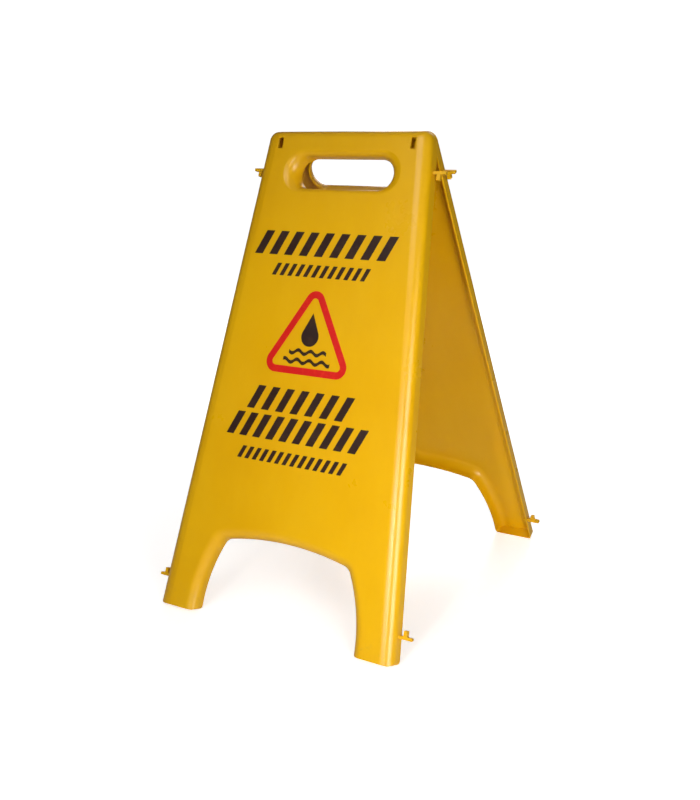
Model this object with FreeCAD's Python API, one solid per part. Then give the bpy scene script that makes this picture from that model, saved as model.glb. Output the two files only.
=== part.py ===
"""Folding wet floor sign: two moulded trays hinged together below their top edge.

World frame: millimetres, +Z up, +X to the right, the front panel faces -Y.
The origin is on the floor, straight below the middle of the hinge line.

Panel frame, used while a panel is built: x across, y up along the panel from the
hinge line, z outward from the rim plane to the skin.
"""
import FreeCAD, Part
import math
import os

from FreeCAD import Placement, Rotation, Vector

# Panel outline
PANEL_LENGTH = 622.0
SKIN_TOP_WIDTH = 230.5
SKIN_FOOT_WIDTH = 342.4
TRAY_DEPTH = 19.2
WALL = 2.2
RIM_FLARE = 1.6            # the rim stands this much wider than the skin, each side
TOP_CORNER_RADIUS = 12.4
EDGE_RADIUS = 10.0         # skin to side flanges and skin to top wall
RIM_GAP = 0.15             # half of the gap between the two panels' rims

# Arch between the legs
ARCH_TOP_DROP = 514.5      # from the top edge, on the centre line
ARCH_CROWN_RADIUS = 400.0
LEG_INNER_HALF_WIDTH = 116.2
LEG_CURVE_RADIUS = 205.0
ARCH_CORNER_RADIUS = 14.0
ARCH_ROLL_RADIUS = 14.0

# Hand hole
HOLE_DROP = 52.0           # centre, from the top edge
HOLE_HALF_LENGTH = 67.2
HOLE_HALF_HEIGHT = 20.5
HOLE_END_SCOOP = 20.0      # how far the skin rolls in at the two ends
HOLE_SIDE_ROLL = 8.0       # the same above and below
HOLE_OVERRUN = 0.2         # how far the roll runs past the skin
HOLE_STEPS = 8

# Hinge
PIVOT_DROP = 26.0
OPEN_HALF_ANGLE = 19.94
PIN_RADIUS = 3.0
PIN_PLAY = 0.06
PIN_HEAD_RADIUS = 4.6
PIN_HEAD_LENGTH = 1.6
LUG_RADIUS = 6.5
LUG_OFFSET = 95.0          # middle of the inner lug, from the centre line
INNER_LUG_WIDTH = 5.0
OUTER_LUG_WIDTH = 4.5
LUG_SIDE_GAP = 0.5
WINDOW_WIDTH = 6.8
WINDOW_TOP_DROP = 9.2
WINDOW_BOTTOM_DROP = 22.8
WINDOW_DEPTH = 8.0         # from the skin to the lug's end face

# Feet stand on a narrow flat along their rim
FOOT_LAND = 3.0
FOOT_CORNER_RADIUS = 6.0

# Chain hooks
HOOK_UPPER_DROP = 48.0
HOOK_LOWER_DROP = 588.0
HOOK_REACH = 17.0
HOOK_THICKNESS = 3.6
HOOK_WIDTH = 5.0
HOOK_RIM_OFFSET = 2.5
HOOK_TAB_START = 5.4
HOOK_TAB_THICKNESS = 4.8
HOOK_TAB_HEIGHT = 7.0
HOOK_TAIL_LENGTH = 4.0
HOOK_BARB = 1.1
HOOK_SLIT = 0.9
HOOK_EDGE_RADIUS = 0.6

# Print, laid on the skin as a thin film
INK = 0.15
PRINT_CENTRE = -6.0
BAR_LEAN = 25.0            # degrees from upright
TRIANGLE_TOP_DROP = 201.3
TRIANGLE_BOTTOM_DROP = 306.0
TRIANGLE_BAND = 9.0
TRIANGLE_CORNER_RADIUS = 14.0
DROP_TOP_DROP = 229.0
DROP_RADIUS = 12.5
DROP_CENTRE_DROP = 258.0
WAVE_DROPS = (278.0, 289.5)
WAVE_HALF_WIDTHS = (27.0, 34.0)
WAVE_SWING = 2.2
WAVE_THICKNESS = 4.4
WAVE_LENGTH = 18.0
WAVE_STEPS = 24

# Rows of slanted bars: name, top drop, bottom drop, left, right, bar width, gap
BAR_ROWS = [
    ("heading_print", 129.0, 159.0, -102.0, 102.0, 12.0, 9.0),
    ("subheading_print", 169.5, 185.0, -71.0, 71.0, 6.0, 5.0),
    ("upper_message_print", 325.0, 355.0, -77.0, 77.0, 11.0, 8.5),
    ("lower_message_print", 360.5, 390.5, -102.0, 102.0, 11.0, 8.5),
    ("footnote_print", 403.0, 418.5, -80.0, 80.0, 6.0, 5.0),
]

SPILL = 1.0                # how far a cutting shape runs past what it cuts
NEAR = 0.01                # two places this close are the same place

y_top = PIVOT_DROP
y_foot = PIVOT_DROP - PANEL_LENGTH
tilt = math.radians(OPEN_HALF_ANGLE)
hinge_height = -y_foot * math.cos(tilt) - FOOT_LAND * math.sin(tilt)
side_slope = (SKIN_FOOT_WIDTH - SKIN_TOP_WIDTH) / 2 / PANEL_LENGTH


def half_width(y, z):
    """Half the panel's width outside, at a height y and a distance z from the rim plane."""
    skin = SKIN_TOP_WIDTH / 2 + side_slope * (y_top - y)
    return skin + RIM_FLARE * (1 - z / TRAY_DEPTH)


def rounded_wire(corners, z):
    """A closed wire at height z through (x, y, radius) corners, each rounded by its radius."""
    points = [Vector(x, y, z) for x, y, radius in corners]
    arcs = {}
    ends = []
    for i, here in enumerate(points):
        radius = corners[i][2]
        if radius <= 0:
            ends.append((here, here))
            continue
        back = (points[i - 1] - here).normalize()
        ahead = (points[(i + 1) % len(points)] - here).normalize()
        half = back.getAngle(ahead) / 2
        reach = radius / math.tan(half)
        centre = here + (back + ahead).normalize() * (radius / math.sin(half))
        middle = centre + (here - centre).normalize() * radius
        start = here + back * reach
        stop = here + ahead * reach
        ends.append((start, stop))
        arcs[i] = Part.Arc(start, middle, stop).toShape()
    loop = []
    for i in range(len(points)):
        if i in arcs:
            loop.append(arcs[i])
        loop.append(Part.makeLine(ends[i][1], ends[(i + 1) % len(points)][0]))
    return Part.Wire(loop)


def prism(wire, height):
    return Part.Face(wire).extrude(Vector(0, 0, height))


def block(inset, z_low, z_high):
    """The tray's body without its arch, with every wall moved in by inset."""
    wires = []
    for z in (z_low, z_high):
        top = y_top - inset + RIM_FLARE * (1 - z / TRAY_DEPTH)
        foot = y_foot + inset
        side = inset / math.cos(math.atan(side_slope))
        high = half_width(top, z) - side
        low = half_width(foot, z) - side
        radius = TOP_CORNER_RADIUS - inset
        wires.append(rounded_wire(
            [(-low, foot, 0), (-high, top, radius), (high, top, radius), (low, foot, 0)], z))
    return Part.makeLoft(wires, True, True)


def arch(inset, z_low, z_high):
    """The opening between the legs, grown by inset, open at the bottom."""
    crown = ARCH_CROWN_RADIUS + inset
    crown_centre = y_top - ARCH_TOP_DROP - ARCH_CROWN_RADIUS
    leg = LEG_CURVE_RADIUS + inset
    leg_centre = LEG_INNER_HALF_WIDTH - LEG_CURVE_RADIUS
    span = math.hypot(leg_centre, crown_centre - y_foot)
    along = (crown ** 2 - leg ** 2 + span ** 2) / (2 * span)
    aside = math.sqrt(crown ** 2 - along ** 2)
    step_x = leg_centre / span
    step_y = (y_foot - crown_centre) / span
    corner_x = along * step_x + aside * step_y
    corner_y = crown_centre + along * step_y - aside * step_x

    def on_leg(angle):
        return leg_centre + leg * math.cos(angle), y_foot + leg * math.sin(angle)

    turn = math.asin((corner_y - y_foot) / leg)
    mid_x, mid_y = on_leg(turn / 2)
    bottom_x = leg_centre + leg
    bottom = y_foot - 2 * TRAY_DEPTH
    top_left = Vector(-corner_x, corner_y, z_low)
    top_right = Vector(corner_x, corner_y, z_low)
    foot_left = Vector(-bottom_x, y_foot, z_low)
    foot_right = Vector(bottom_x, y_foot, z_low)
    low_left = Vector(-bottom_x, bottom, z_low)
    low_right = Vector(bottom_x, bottom, z_low)
    outline = Part.Wire([
        Part.Arc(top_left, Vector(0, crown_centre + crown, z_low), top_right).toShape(),
        Part.Arc(top_right, Vector(mid_x, mid_y, z_low), foot_right).toShape(),
        Part.makeLine(foot_right, low_right),
        Part.makeLine(low_right, low_left),
        Part.makeLine(low_left, foot_left),
        Part.Arc(foot_left, Vector(-mid_x, mid_y, z_low), top_left).toShape(),
    ])
    solid = prism(outline, z_high - z_low)
    corners = [e for e in solid.Edges
               if abs(e.CenterOfMass.y - corner_y) < NEAR
               and abs(abs(e.CenterOfMass.x) - corner_x) < NEAR]
    return solid.makeFillet(ARCH_CORNER_RADIUS + inset, corners)


def stadium(half_length, half_height, z):
    straight = half_length - half_height
    y = y_top - HOLE_DROP
    upper_left = Vector(-straight, y + half_height, z)
    upper_right = Vector(straight, y + half_height, z)
    lower_left = Vector(-straight, y - half_height, z)
    lower_right = Vector(straight, y - half_height, z)
    return Part.Wire([
        Part.makeLine(upper_left, upper_right),
        Part.Arc(upper_right, Vector(half_length, y, z), lower_right).toShape(),
        Part.makeLine(lower_right, lower_left),
        Part.Arc(lower_left, Vector(-half_length, y, z), upper_left).toShape(),
    ])


def hole_funnel(inset):
    """The hand hole: straight at the rim, rolling out to the skin. Grown by inset on the hollow side."""
    top = TRAY_DEPTH - inset + HOLE_OVERRUN
    wires = [stadium(HOLE_HALF_LENGTH + inset, HOLE_HALF_HEIGHT + inset, -SPILL)]
    for i in range(HOLE_STEPS + 1):
        angle = math.pi / 2 * i / HOLE_STEPS
        z = top * math.sin(angle)
        length = HOLE_HALF_LENGTH + inset + HOLE_END_SCOOP * (1 - math.cos(angle))
        climb = max(0.0, z - (top - HOLE_SIDE_ROLL))
        roll = HOLE_SIDE_ROLL - math.sqrt(HOLE_SIDE_ROLL ** 2 - climb ** 2)
        wires.append(stadium(length, HOLE_HALF_HEIGHT + inset + roll, z))
    return Part.makeLoft(wires, True, False)


def skin_edges(solid, z_skin, on_arch):
    """The edges round the skin of a tray: those of the arch, or those of the sides and top."""
    found = []
    for edge in solid.Edges:
        box = edge.BoundBox
        if abs(box.ZMin - z_skin) > NEAR or abs(box.ZMax - z_skin) > NEAR:
            continue
        middle = edge.CenterOfMass
        outside = (abs(middle.x) > half_width(middle.y, z_skin) - 2 * WALL
                   or middle.y > y_top - TOP_CORNER_RADIUS)
        inside = (abs(middle.x) < LEG_INNER_HALF_WIDTH + 2 * WALL
                  and middle.y < y_top - ARCH_TOP_DROP + 2 * WALL)
        if (on_arch and inside) or (not on_arch and outside):
            found.append(edge)
    return found


def outer_foot_corner(side, inset, z_low, z_high):
    """What rounding takes off a foot's outer corner; the side wall there is drafted."""
    wires = []
    for z in (z_low, z_high):
        foot = y_foot + inset
        x = half_width(foot, z) - inset / math.cos(math.atan(side_slope))
        here = Vector(side * x, foot, z)
        up = Vector(-side * side_slope, 1, 0).normalize()
        across = Vector(-side, 0, 0)
        radius = FOOT_CORNER_RADIUS - inset
        half = up.getAngle(across) / 2
        reach = radius / math.tan(half)
        centre = here + (up + across).normalize() * (radius / math.sin(half))
        start = here + up * reach
        stop = here + across * reach
        middle = centre + (here - centre).normalize() * radius
        out = Vector(side * SPILL, 0, 0)
        down = Vector(0, -SPILL, 0)
        wires.append(Part.Wire([
            Part.Arc(start, middle, stop).toShape(),
            Part.makeLine(stop, stop + down),
            Part.makeLine(stop + down, here + down + out),
            Part.makeLine(here + down + out, start + out),
            Part.makeLine(start + out, start)]))
    return Part.makeLoft(wires, True, True)


def inner_foot_corner(side, inset, z_low, z_high):
    """What rounding takes off a foot's inner corner, between the arch and the floor."""
    leg = LEG_CURVE_RADIUS + inset
    leg_centre = LEG_INNER_HALF_WIDTH - LEG_CURVE_RADIUS
    radius = FOOT_CORNER_RADIUS - inset
    foot = y_foot + inset
    rise = radius + inset
    centre_x = leg_centre + math.sqrt((leg + radius) ** 2 - rise ** 2)
    turn = math.asin(rise / (leg + radius))
    halfway = (turn + math.pi / 2) / 2
    start_x = leg_centre + leg * math.cos(turn)
    start_y = y_foot + leg * math.sin(turn)
    middle_x = centre_x - radius * math.cos(halfway)
    middle_y = foot + radius - radius * math.sin(halfway)

    def spot(x, y):
        return Vector(side * x, y, z_low)

    start = spot(start_x, start_y)
    stop = spot(centre_x, foot)
    outline = Part.Wire([
        Part.Arc(start, spot(middle_x, middle_y), stop).toShape(),
        Part.makeLine(stop, spot(centre_x, foot - SPILL)),
        Part.makeLine(spot(centre_x, foot - SPILL), spot(start_x - SPILL, foot - SPILL)),
        Part.makeLine(spot(start_x - SPILL, foot - SPILL), spot(start_x - SPILL, start_y)),
        Part.makeLine(spot(start_x - SPILL, start_y), start)])
    return prism(outline, z_high - z_low)


def tray_body(inset, z_low):
    """A filled tray: its outside when inset is 0, its hollow when inset is the wall."""
    z_skin = TRAY_DEPTH - inset
    solid = block(inset, z_low, z_skin)
    solid = solid.cut(arch(inset, z_low - SPILL, z_skin + SPILL))
    solid = solid.makeFillet(ARCH_ROLL_RADIUS - inset, skin_edges(solid, z_skin, True))
    solid = solid.makeFillet(EDGE_RADIUS - inset, skin_edges(solid, z_skin, False))
    solid = solid.cut(hole_funnel(inset))
    for side in (-1, 1):
        solid = solid.cut(outer_foot_corner(side, inset, z_low - SPILL, z_skin + SPILL))
        solid = solid.cut(inner_foot_corner(side, inset, z_low - SPILL, z_skin + SPILL))
    return solid


def bar_along_x(profile, x_start, x_stop):
    """A solid with a (y, z) outline, running from x_start to x_stop."""
    points = [Vector(x_start, y, z) for y, z in profile]
    face = Part.Face(Part.makePolygon(points + points[:1]))
    return face.extrude(Vector(x_stop - x_start, 0, 0))


def rim_relief():
    """What the rims lose: a hair at the rim plane, and a wedge above the hinge line.

    With the panels open, the wedges' faces stand upright and meet, which stops the fold.
    """
    far = 2 * PANEL_LENGTH
    deep = 4 * TRAY_DEPTH
    rise = RIM_GAP / math.cos(tilt)
    outline = [
        (-far, -deep),
        (-far, RIM_GAP),
        (0, RIM_GAP),
        (far, far * math.tan(tilt) + rise),
        (far, -deep),
    ]
    return bar_along_x(outline, -far, far)


def hinge_lug(x_middle, width, bore_radius, core):
    """A plate between the top wall, the skin and the hinge line, where it carries the pin.

    The core is the filled tray out to the middle of its walls, which trims the plate.
    """
    near = y_top * math.tan(tilt) + WALL / 4
    lean = math.atan2(near, y_top)
    rim_side = (LUG_RADIUS * math.sin(lean), -LUG_RADIUS * math.cos(lean))
    skin_low = y_top - WINDOW_BOTTOM_DROP
    outline = [rim_side, (y_top, near), (y_top, TRAY_DEPTH), (skin_low, TRAY_DEPTH), (-LUG_RADIUS, 0)]
    left = x_middle - width / 2
    axis = Vector(1, 0, 0)
    web = bar_along_x(outline, left, left + width).common(core)
    boss = Part.makeCylinder(LUG_RADIUS, width, Vector(left, 0, 0), axis)
    bore = Part.makeCylinder(bore_radius, width + 2 * SPILL, Vector(left - SPILL, 0, 0), axis)
    return web.fuse(boss).removeSplitter().cut(bore)


def outer_lug_offsets():
    step = INNER_LUG_WIDTH / 2 + LUG_SIDE_GAP + OUTER_LUG_WIDTH / 2
    return (LUG_OFFSET - step, LUG_OFFSET + step)


def window(side):
    """The slot through the skin in front of an inner lug."""
    return Part.makeBox(
        WINDOW_WIDTH, WINDOW_BOTTOM_DROP - WINDOW_TOP_DROP, WINDOW_DEPTH + SPILL,
        Vector(side * LUG_OFFSET - WINDOW_WIDTH / 2, y_top - WINDOW_BOTTOM_DROP,
               TRAY_DEPTH - WINDOW_DEPTH))


def hook_hole(side, drop):
    y = y_top - drop
    outside = half_width(y, HOOK_RIM_OFFSET + HOOK_WIDTH / 2)
    through = 2 * (WALL + SPILL)
    return Part.makeBox(
        through, HOOK_THICKNESS, HOOK_WIDTH,
        Vector(side * outside - through / 2, y - HOOK_THICKNESS / 2, HOOK_RIM_OFFSET))


def hook(side, drop, tab_way):
    """A chain hook pushed into the side flange: barbed tail inside, post and tab outside."""
    outside = half_width(0, HOOK_RIM_OFFSET + HOOK_WIDTH / 2) + side_slope * (drop - PIVOT_DROP)
    inside = outside - WALL / math.cos(math.atan(side_slope))
    half = HOOK_THICKNESS / 2
    shoulder = inside - side_slope * (half + HOOK_BARB)
    tail = inside - HOOK_TAIL_LENGTH
    tip = outside + HOOK_REACH
    tab_start = outside + HOOK_TAB_START
    tab_stop = tab_start + HOOK_TAB_THICKNESS
    tab_height = half + HOOK_TAB_HEIGHT
    outline = rounded_wire([
        (tail, -half, 0),
        (shoulder, -half - HOOK_BARB, 0),
        (shoulder, -half, 0),
        (tip, -half, HOOK_EDGE_RADIUS),
        (tip, half, HOOK_EDGE_RADIUS),
        (tab_stop, half, HOOK_EDGE_RADIUS),
        (tab_stop, tab_height, HOOK_EDGE_RADIUS),
        (tab_start, tab_height, HOOK_EDGE_RADIUS),
        (tab_start, half, HOOK_EDGE_RADIUS),
        (shoulder, half, 0),
        (shoulder, half + HOOK_BARB, 0),
        (tail, half, 0),
    ], 0)
    slit = Part.makeBox(HOOK_TAIL_LENGTH, HOOK_SLIT, HOOK_WIDTH + 2 * SPILL,
                        Vector(tail - SPILL, -HOOK_SLIT / 2, -SPILL))
    solid = prism(outline, HOOK_WIDTH).cut(slit)
    if tab_way < 0:
        solid = solid.mirror(Vector(0, 0, 0), Vector(0, 1, 0))
    if side < 0:
        solid = solid.mirror(Vector(0, 0, 0), Vector(1, 0, 0))
    return solid.translate(Vector(0, y_top - drop, HOOK_RIM_OFFSET))


def ink(wire):
    return prism(wire, INK)


def bar_row(top_drop, bottom_drop, left, right, bar, gap):
    """A row of slanted bars that fills the given rectangle from side to side."""
    height = bottom_drop - top_drop
    lean = height * math.tan(math.radians(BAR_LEAN))
    room = right - left - lean
    count = int((room + gap) / (bar + gap))
    pitch = (room - bar) / (count - 1)
    low = y_top - bottom_drop
    bars = []
    for i in range(count):
        x = PRINT_CENTRE + left + i * pitch
        bars.append(ink(rounded_wire([
            (x, low, 0), (x + lean, low + height, 0),
            (x + lean + bar, low + height, 0), (x + bar, low, 0)], TRAY_DEPTH)))
    return Part.makeCompound(bars)


def triangle(inset):
    """A rounded triangle with equal sides, moved in by inset."""
    sharp_top = y_top - (TRIANGLE_TOP_DROP - TRIANGLE_CORNER_RADIUS) - 2 * inset
    base = y_top - TRIANGLE_BOTTOM_DROP + inset
    half = (sharp_top - base) / math.sqrt(3)
    radius = TRIANGLE_CORNER_RADIUS - inset
    return rounded_wire([
        (PRINT_CENTRE - half, base, radius),
        (PRINT_CENTRE, sharp_top, radius),
        (PRINT_CENTRE + half, base, radius)], TRAY_DEPTH)


def triangle_ring():
    return ink(triangle(0)).cut(ink(triangle(TRIANGLE_BAND)))


def water_drop():
    centre = Vector(PRINT_CENTRE, y_top - DROP_CENTRE_DROP, TRAY_DEPTH)
    tall = DROP_CENTRE_DROP - DROP_TOP_DROP
    angle = math.asin(DROP_RADIUS / tall)
    tip = centre + Vector(0, tall, 0)
    left = centre + Vector(-DROP_RADIUS * math.cos(angle), DROP_RADIUS * math.sin(angle), 0)
    right = centre + Vector(DROP_RADIUS * math.cos(angle), DROP_RADIUS * math.sin(angle), 0)
    return ink(Part.Wire([
        Part.makeLine(tip, left),
        Part.Arc(left, centre + Vector(0, -DROP_RADIUS, 0), right).toShape(),
        Part.makeLine(right, tip)]))


def wave(drop, half_length):
    """One wavy stroke of even thickness."""
    def edge_curve(offset):
        points = []
        for i in range(WAVE_STEPS + 1):
            x = -half_length + 2 * half_length * i / WAVE_STEPS
            y = y_top - drop + offset + WAVE_SWING * math.sin(2 * math.pi * x / WAVE_LENGTH)
            points.append(Vector(PRINT_CENTRE + x, y, TRAY_DEPTH))
        curve = Part.BSplineCurve()
        curve.interpolate(points)
        return curve.toShape(), points[0], points[-1]

    upper, upper_start, upper_stop = edge_curve(WAVE_THICKNESS / 2)
    lower, lower_start, lower_stop = edge_curve(-WAVE_THICKNESS / 2)
    return ink(Part.Wire([
        upper, Part.makeLine(upper_stop, lower_stop), lower, Part.makeLine(lower_start, upper_start)]))


def panel_shell():
    """One tray, hollow on its rim side, with the rims relieved for the hinge."""
    return tray_body(0, 0).cut(tray_body(WALL, -SPILL)).cut(rim_relief())


def with_lugs(shell, offsets, width, bore_radius):
    core = tray_body(WALL / 2, -SPILL)
    for side in (-1, 1):
        for offset in offsets:
            shell = shell.fuse(hinge_lug(side * offset, width, bore_radius, core))
    return shell.removeSplitter()


def hinge_pin(side):
    """A headed pin, pressed into the rear panel's two lugs, that turns in the front panel's."""
    near, far = outer_lug_offsets()
    start = near - OUTER_LUG_WIDTH / 2 - SPILL
    stop = far + OUTER_LUG_WIDTH / 2
    axis = Vector(side, 0, 0)
    shank = Part.makeCylinder(PIN_RADIUS, stop - start, Vector(side * start, 0, 0), axis)
    head = Part.makeCylinder(PIN_HEAD_RADIUS, PIN_HEAD_LENGTH, Vector(side * stop, 0, 0), axis)
    return shank.fuse(head).removeSplitter()


lean_front = Placement(Vector(0, 0, hinge_height), Rotation(Vector(1, 0, 0), 90 - OPEN_HALF_ANGLE))
turn_round = Placement(Vector(0, 0, 0), Rotation(Vector(0, 0, 1), 180))
stand = {"front": lean_front, "rear": turn_round.multiply(lean_front)}


def place(shape, panel):
    placed = shape.copy()
    placed.Placement = stand[panel].multiply(placed.Placement)
    return placed


def below_floor():
    size = 4 * PANEL_LENGTH
    return Part.makeBox(size, size, size, Vector(-size / 2, -size / 2, -size))


HOOKS = [("upper", HOOK_UPPER_DROP, -1), ("lower", HOOK_LOWER_DROP, 1)]
SIDES = {"left": -1, "right": 1}

parts = {}

shell = panel_shell()
for side in SIDES.values():
    shell = shell.cut(hook_hole(side, HOOK_UPPER_DROP))
    shell = shell.cut(hook_hole(side, HOOK_LOWER_DROP))

front = with_lugs(shell, (LUG_OFFSET,), INNER_LUG_WIDTH, PIN_RADIUS + PIN_PLAY)
for side in SIDES.values():
    front = front.cut(window(side))
rear = with_lugs(shell, outer_lug_offsets(), OUTER_LUG_WIDTH, PIN_RADIUS)
parts["front_panel"] = place(front, "front").cut(below_floor())
parts["rear_panel"] = place(rear, "rear").cut(below_floor())

for side_name, side in SIDES.items():
    parts[side_name + "_hinge_pin"] = place(hinge_pin(side), "front")

for panel, facing in (("front", 1), ("rear", -1)):
    for side_name, side in SIDES.items():
        for level, drop, tab_way in HOOKS:
            name = panel + "_" + level + "_" + side_name + "_hook"
            parts[name] = place(hook(side * facing, drop, tab_way), panel)
    for row in BAR_ROWS:
        parts[panel + "_" + row[0]] = place(bar_row(*row[1:]), panel)
    parts[panel + "_triangle_print"] = place(triangle_ring(), panel)
    parts[panel + "_drop_print"] = place(water_drop(), panel)
    waves = [wave(drop, half) for drop, half in zip(WAVE_DROPS, WAVE_HALF_WIDTHS)]
    parts[panel + "_wave_print"] = place(Part.makeCompound(waves), panel)

os.makedirs("parts", exist_ok=True)
for name, shape in parts.items():
    shape.exportStep("parts/" + name + ".step")
    print(name, len(shape.Solids), "solids", round(shape.Volume, 1), "mm3", shape.isValid())
print("hinge line at z =", round(hinge_height, 3))
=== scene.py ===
"""Looks for the folding wet floor sign. Everything is in metres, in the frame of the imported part:
+Z up, the front panel faces -Y, the origin is on the floor under the middle of the hinge."""
import math

import bmesh
import bpy
from mathutils import Matrix, Vector

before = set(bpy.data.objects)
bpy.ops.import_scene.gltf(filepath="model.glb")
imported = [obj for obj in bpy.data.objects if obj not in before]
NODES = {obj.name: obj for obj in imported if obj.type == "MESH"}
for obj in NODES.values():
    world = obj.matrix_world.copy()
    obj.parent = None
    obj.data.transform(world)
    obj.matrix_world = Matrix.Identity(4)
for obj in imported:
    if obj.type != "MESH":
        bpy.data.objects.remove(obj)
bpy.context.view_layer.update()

# Colours, linear
YELLOW = (0.80, 0.43, 0.0, 1.0)
YELLOW_DEEP = (0.76, 0.39, 0.0, 1.0)
YELLOW_PALE = (0.86, 0.51, 0.01, 1.0)
INK_DARK = (0.026, 0.009, 0.006, 1.0)
INK_DARK_THIN = (0.045, 0.018, 0.008, 1.0)
INK_RED = (0.66, 0.008, 0.006, 1.0)
INK_RED_THIN = (0.74, 0.02, 0.008, 1.0)
NYLON = (0.72, 0.70, 0.62, 1.0)
NYLON_DEEP = (0.62, 0.60, 0.52, 1.0)
SCUFF = (0.52, 0.30, 0.05, 1.0)
FLOOR_WHITE = (0.92, 0.92, 0.92, 1.0)
FLOOR_WHITE_DEEP = (0.90, 0.90, 0.90, 1.0)

# Camera: metres, degrees, and a lens in millimetres
CAMERA_AT = Vector((0.6830, -1.1355, 0.6246))
CAMERA_YAW = 31.39
CAMERA_PITCH = 16.07
CAMERA_ROLL = -1.33
LENS = 46.7415
SENSOR = 36.0

# The world is white to the camera and dim as a light
WORLD_SEEN = 1.0
WORLD_LIT = 0.05

# Area lights: name, width and height in metres, watts, place, what it faces, spread in degrees
LIGHTS = [
    ("key", 0.9, 0.8, 7.0, (-0.05, -1.30, 1.65), (0.0, 0.0, 0.40), 180.0),
    ("strip", 0.45, 0.9, 2.3, (0.97, -0.90, 0.36), (0.2, -0.1, 0.15), 70.0),
    ("edge", 0.10, 0.45, 1.0, (0.26, -1.69, 0.60), (0.16, -0.17, 0.18), 60.0),
    ("back", 1.2, 1.0, 12.0, (-0.5, 1.90, 1.20), (0.0, 0.0, 0.3), 180.0),
    ("top", 2.6, 2.6, 4.0, (0.0, 0.4, 2.6), (0.0, 0.0, 0.0), 180.0),
]

# The floor sheet: how far it runs each way, the radius it curves up with, and its wall
SHEET_REACH = 4.0
SHEET_RADIUS = 1.5
SHEET_WALL = 5.0
SHEET_STEPS = 16
FLOOR_ROUGHNESS = 0.35

# Plastic: roughness, index of refraction, and how far edges are softened in metres
PANEL_ROUGHNESS = 0.29
HOOK_ROUGHNESS = 0.36
PIN_ROUGHNESS = 0.40
PLASTIC_IOR = 1.49
PANEL_SOFTENING = 0.0007
SMALL_SOFTENING = 0.0004
STREAK_MIX = 0.25
WEAR_MIX = 0.35
SCUFF_MIX = 0.35
SCUFF_HEIGHT = 0.05        # scuffs fade out this far above the floor
SCRATCH_ROUGHNESS = 0.05

# Ink
DARK_INK_ROUGHNESS = 0.42
RED_INK_ROUGHNESS = 0.40
INK_IOR = 1.47

# Bumps: scale of the noise, strength, and height in metres
SKIN_WAVES = (16.0, 0.10, 0.002)
PLASTIC_GRAIN = (1500.0, 0.06, 0.0003)
INK_TOOTH = (2600.0, 0.10, 0.0002)

# The shading, not the shape, crowns the skin along the panels' sides: its half width on the floor,
# how fast it narrows going up, the band from the side that bends, and how far it seems to drop
SKIN_HALF_WIDTH = 0.1717
SKIN_NARROWING = 0.0957
CROWN_BAND = (0.002, 0.0175)
CROWN_DROP = 0.0025

# The floor and backdrop are lifted to white, more so far from the sign
GLOW_REACH = (0.2, 0.9)
GLOW = (0.62, 1.0)


class Graph:
    """A material's node tree, with short calls for the nodes that repeat."""

    def __init__(self, name):
        self.material = bpy.data.materials.new(name)
        self.material.use_nodes = True
        self.nodes = self.material.node_tree.nodes
        self.links = self.material.node_tree.links
        self.shader = self.nodes["Principled BSDF"]
        self.place = self.nodes.new("ShaderNodeTexCoord").outputs["Object"]

    def link(self, source, target):
        self.links.new(source, target)

    def scaled(self, scale):
        """The object's own coordinates, stretched by three factors."""
        node = self.nodes.new("ShaderNodeMapping")
        node.inputs["Scale"].default_value = scale
        self.link(self.place, node.inputs["Vector"])
        return node.outputs["Vector"]

    def noise(self, scale, detail=2.0, roughness=0.5, where=None):
        node = self.nodes.new("ShaderNodeTexNoise")
        node.inputs["Scale"].default_value = scale
        node.inputs["Detail"].default_value = detail
        node.inputs["Roughness"].default_value = roughness
        self.link(where or self.place, node.inputs["Vector"])
        return node.outputs["Fac"]

    def ramp(self, value, low, high, low_out=0.0, high_out=1.0):
        node = self.nodes.new("ShaderNodeMapRange")
        node.interpolation_type = "SMOOTHSTEP"
        node.inputs["From Min"].default_value = low
        node.inputs["From Max"].default_value = high
        node.inputs["To Min"].default_value = low_out
        node.inputs["To Max"].default_value = high_out
        self.link(value, node.inputs["Value"])
        return node.outputs["Result"]

    def math(self, operation, *values):
        node = self.nodes.new("ShaderNodeMath")
        node.operation = operation
        for socket, value in zip(node.inputs, values):
            if isinstance(value, (int, float)):
                socket.default_value = value
            else:
                self.link(value, socket)
        return node.outputs["Value"]

    def mix(self, factor, first, second):
        node = self.nodes.new("ShaderNodeMix")
        node.data_type = "RGBA"
        self.link(factor, node.inputs["Factor"])
        for socket, value in ((node.inputs["A"], first), (node.inputs["B"], second)):
            if isinstance(value, tuple):
                socket.default_value = value
            else:
                self.link(value, socket)
        return node.outputs["Result"]

    def bump(self, height, strength, distance, normal=None):
        node = self.nodes.new("ShaderNodeBump")
        node.inputs["Strength"].default_value = strength
        node.inputs["Distance"].default_value = distance
        self.link(height, node.inputs["Height"])
        if normal is not None:
            self.link(normal, node.inputs["Normal"])
        return node.outputs["Normal"]


def crown(g, place, normal):
    """Bends the normal outward along the two sides of a panel."""
    narrowing = g.math("MULTIPLY", place["Z"], SKIN_NARROWING)
    inset = g.math("SUBTRACT", SKIN_HALF_WIDTH, g.math("ADD", g.math("ABSOLUTE", place["X"]), narrowing))
    return g.bump(g.ramp(inset, *CROWN_BAND), 1.0, CROWN_DROP, normal)


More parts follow.
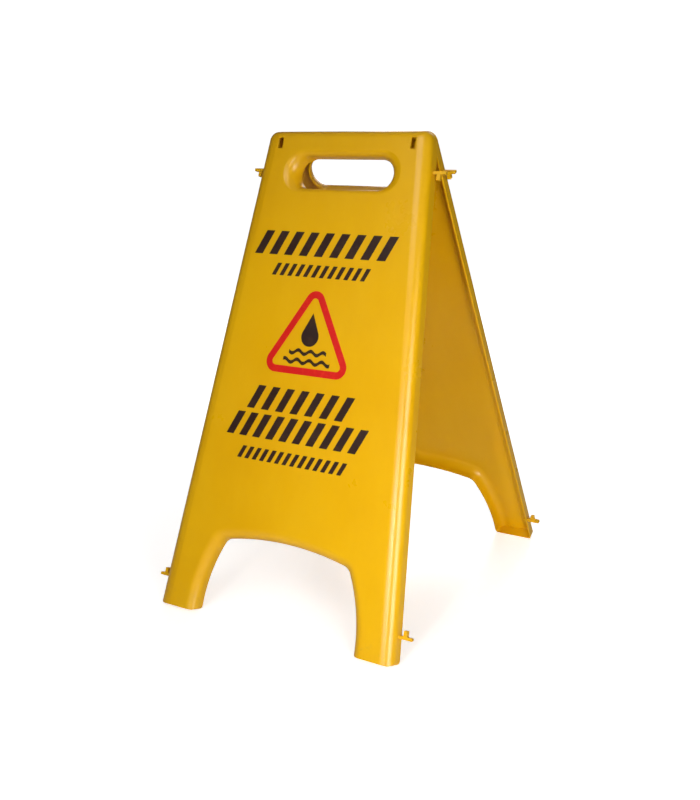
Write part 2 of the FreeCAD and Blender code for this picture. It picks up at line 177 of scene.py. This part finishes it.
def moulded_plastic(name, colour, deep, pale, roughness, edge_radius, crowned=False):
    """Moulded plastic: slow colour drift, faint flow streaks, fine grain, worn and softened edges."""
    g = Graph(name)
    drift = g.ramp(g.noise(5.0, 3.0), 0.3, 0.7)
    flow = g.ramp(g.noise(26.0, 4.0, 0.6, g.scaled((1.0, 1.0, 0.22))), 0.35, 0.75)
    tone = g.mix(drift, deep, colour)
    tone = g.mix(g.math("MULTIPLY", flow, STREAK_MIX), tone, pale)

    soft = g.nodes.new("ShaderNodeBevel")
    soft.samples = 6
    soft.inputs["Radius"].default_value = edge_radius
    plain = g.nodes.new("ShaderNodeNewGeometry")
    turn = g.nodes.new("ShaderNodeVectorMath")
    turn.operation = "DOT_PRODUCT"
    g.link(soft.outputs["Normal"], turn.inputs[0])
    g.link(plain.outputs["Normal"], turn.inputs[1])
    edge = g.ramp(turn.outputs["Value"], 0.97, 0.80)
    patchy = g.ramp(g.noise(70.0, 4.0, 0.7), 0.42, 0.62)
    worn = g.math("MULTIPLY", g.math("MULTIPLY", edge, patchy), WEAR_MIX)
    tone = g.mix(worn, tone, pale)

    place = g.nodes.new("ShaderNodeSeparateXYZ")
    g.link(g.place, place.inputs["Vector"])
    low = g.ramp(place.outputs["Z"], SCUFF_HEIGHT, 0.0)
    dirt = g.ramp(g.noise(160.0, 5.0, 0.75), 0.52, 0.70)
    tone = g.mix(g.math("MULTIPLY", g.math("MULTIPLY", low, dirt), SCUFF_MIX), tone, SCUFF)
    g.link(tone, g.shader.inputs["Base Color"])

    rub = g.ramp(g.noise(9.0, 5.0, 0.65), 0.3, 0.75, roughness - 0.02, roughness + 0.04)
    across = g.scaled((1.0, 1.0, 14.0))
    scratch = g.ramp(g.noise(60.0, 3.0, 0.6, across), 0.62, 0.72, 0.0, SCRATCH_ROUGHNESS)
    g.link(g.math("ADD", rub, scratch), g.shader.inputs["Roughness"])
    g.shader.inputs["IOR"].default_value = PLASTIC_IOR

    form = crown(g, place.outputs, soft.outputs["Normal"]) if crowned else soft.outputs["Normal"]
    wave_scale, *wave_bump = SKIN_WAVES
    grain_scale, *grain_bump = PLASTIC_GRAIN
    waves = g.bump(g.noise(wave_scale, 2.0), *wave_bump, form)
    g.link(g.bump(g.noise(grain_scale, 3.0, 0.6), *grain_bump, waves), g.shader.inputs["Normal"])
    return g.material


def printed_ink(name, colour, thin, roughness):
    """Screen print: even, a little thin in places, with a fine tooth from the mesh."""
    g = Graph(name)
    patch = g.ramp(g.noise(90.0, 4.0, 0.65), 0.45, 0.75)
    g.link(g.mix(patch, colour, thin), g.shader.inputs["Base Color"])
    g.link(g.ramp(g.noise(40.0, 3.0), 0.3, 0.7, roughness - 0.05, roughness + 0.07),
           g.shader.inputs["Roughness"])
    g.shader.inputs["IOR"].default_value = INK_IOR
    wave_scale, *wave_bump = SKIN_WAVES
    tooth_scale, *tooth_bump = INK_TOOTH
    waves = g.bump(g.noise(wave_scale, 2.0), *wave_bump)
    g.link(g.bump(g.noise(tooth_scale, 2.0), *tooth_bump, waves), g.shader.inputs["Normal"])
    return g.material


def assign(node, material):
    node.data.materials.clear()
    node.data.materials.append(material)


yellow = moulded_plastic("yellow_plastic", YELLOW, YELLOW_DEEP, YELLOW_PALE,
                         PANEL_ROUGHNESS, PANEL_SOFTENING, crowned=True)
hook_yellow = moulded_plastic("hook_plastic", YELLOW, YELLOW_DEEP, YELLOW_PALE,
                              HOOK_ROUGHNESS, SMALL_SOFTENING)
nylon = moulded_plastic("pin_nylon", NYLON, NYLON_DEEP, NYLON, PIN_ROUGHNESS, SMALL_SOFTENING)
dark = printed_ink("dark_ink", INK_DARK, INK_DARK_THIN, DARK_INK_ROUGHNESS)
red = printed_ink("red_ink", INK_RED, INK_RED_THIN, RED_INK_ROUGHNESS)

for name, node in NODES.items():
    if name.endswith("_panel"):
        assign(node, yellow)
    elif name.endswith("_hook"):
        assign(node, hook_yellow)
    elif name.endswith("_hinge_pin"):
        assign(node, nylon)
    elif name.endswith("_triangle_print"):
        assign(node, red)
    else:
        assign(node, dark)


def add_camera():
    yaw, pitch, roll = (math.radians(v) for v in (CAMERA_YAW, CAMERA_PITCH, CAMERA_ROLL))
    ahead = Vector((-math.sin(yaw) * math.cos(pitch), math.cos(yaw) * math.cos(pitch), -math.sin(pitch)))
    right = Vector((math.cos(yaw), math.sin(yaw), 0.0))
    up = right.cross(ahead)
    rolled_right = math.cos(roll) * right + math.sin(roll) * up
    rolled_up = math.cos(roll) * up - math.sin(roll) * right
    data = bpy.data.cameras.new("camera")
    data.sensor_width = SENSOR
    data.lens = LENS
    camera = bpy.data.objects.new("camera", data)
    bpy.context.scene.collection.objects.link(camera)
    turn = Matrix((rolled_right, rolled_up, -ahead)).transposed()
    camera.matrix_world = Matrix.Translation(CAMERA_AT) @ turn.to_4x4()
    bpy.context.scene.camera = camera


def add_light(name, width, height, energy, at, target, spread):
    data = bpy.data.lights.new(name, "AREA")
    data.shape = "RECTANGLE"
    data.size = width
    data.size_y = height
    data.energy = energy
    data.spread = math.radians(spread)
    light = bpy.data.objects.new(name, data)
    bpy.context.scene.collection.objects.link(light)
    light.location = at
    light.rotation_euler = (Vector(target) - Vector(at)).to_track_quat("-Z", "Y").to_euler()


def add_floor():
    """A pale sheet that runs back from the camera and curves up behind the sign."""
    mesh = bpy.data.meshes.new("floor_sheet")
    sheet = bmesh.new()
    profile = [(-SHEET_REACH, 0.0), (SHEET_REACH, 0.0)]
    for i in range(1, SHEET_STEPS + 1):
        angle = math.pi / 2 * i / SHEET_STEPS
        profile.append((SHEET_REACH + SHEET_RADIUS * math.sin(angle), SHEET_RADIUS * (1 - math.cos(angle))))
    profile.append((SHEET_REACH + SHEET_RADIUS, SHEET_WALL))
    yaw = math.radians(CAMERA_YAW)
    ahead = Vector((-math.sin(yaw), math.cos(yaw), 0.0))
    side = Vector((math.cos(yaw), math.sin(yaw), 0.0))
    rows = []
    for along, height in profile:
        rows.append([sheet.verts.new(ahead * along + side * s + Vector((0, 0, height)))
                     for s in (-2 * SHEET_REACH, 2 * SHEET_REACH)])
    for a, b in zip(rows, rows[1:]):
        sheet.faces.new((a[0], a[1], b[1], b[0])).smooth = True
    sheet.to_mesh(mesh)
    sheet.free()
    floor = bpy.data.objects.new("floor_sheet", mesh)
    bpy.context.scene.collection.objects.link(floor)
    g = Graph("floor_white")
    g.link(g.mix(g.ramp(g.noise(3.0, 2.0), 0.3, 0.7), FLOOR_WHITE, FLOOR_WHITE_DEEP),
           g.shader.inputs["Base Color"])
    g.shader.inputs["Roughness"].default_value = FLOOR_ROUGHNESS
    distance = g.nodes.new("ShaderNodeVectorMath")
    distance.operation = "LENGTH"
    g.link(g.place, distance.inputs[0])
    g.shader.inputs["Emission Color"].default_value = (1.0, 1.0, 1.0, 1.0)
    path = g.nodes.new("ShaderNodeLightPath")
    glow = g.ramp(distance.outputs["Value"], *GLOW_REACH, *GLOW)
    g.link(g.math("MULTIPLY", glow, path.outputs["Is Camera Ray"]), g.shader.inputs["Emission Strength"])
    floor.data.materials.append(g.material)


def add_world():
    """White where the camera looks straight at it, and dim as a light."""
    world = bpy.data.worlds.new("studio")
    world.use_nodes = True
    nodes = world.node_tree.nodes
    links = world.node_tree.links
    seen = nodes["Background"]
    seen.inputs["Color"].default_value = (1.0, 1.0, 1.0, 1.0)
    seen.inputs["Strength"].default_value = WORLD_SEEN
    lit = nodes.new("ShaderNodeBackground")
    lit.inputs["Color"].default_value = (1.0, 1.0, 1.0, 1.0)
    lit.inputs["Strength"].default_value = WORLD_LIT
    path = nodes.new("ShaderNodeLightPath")
    mix = nodes.new("ShaderNodeMixShader")
    links.new(path.outputs["Is Camera Ray"], mix.inputs["Fac"])
    links.new(lit.outputs["Background"], mix.inputs[1])
    links.new(seen.outputs["Background"], mix.inputs[2])
    links.new(mix.outputs["Shader"], nodes["World Output"].inputs["Surface"])
    bpy.context.scene.world = world


add_camera()
add_floor()
add_world()
for light in LIGHTS:
    add_light(*light)

bpy.context.scene.view_settings.view_transform = "Standard"
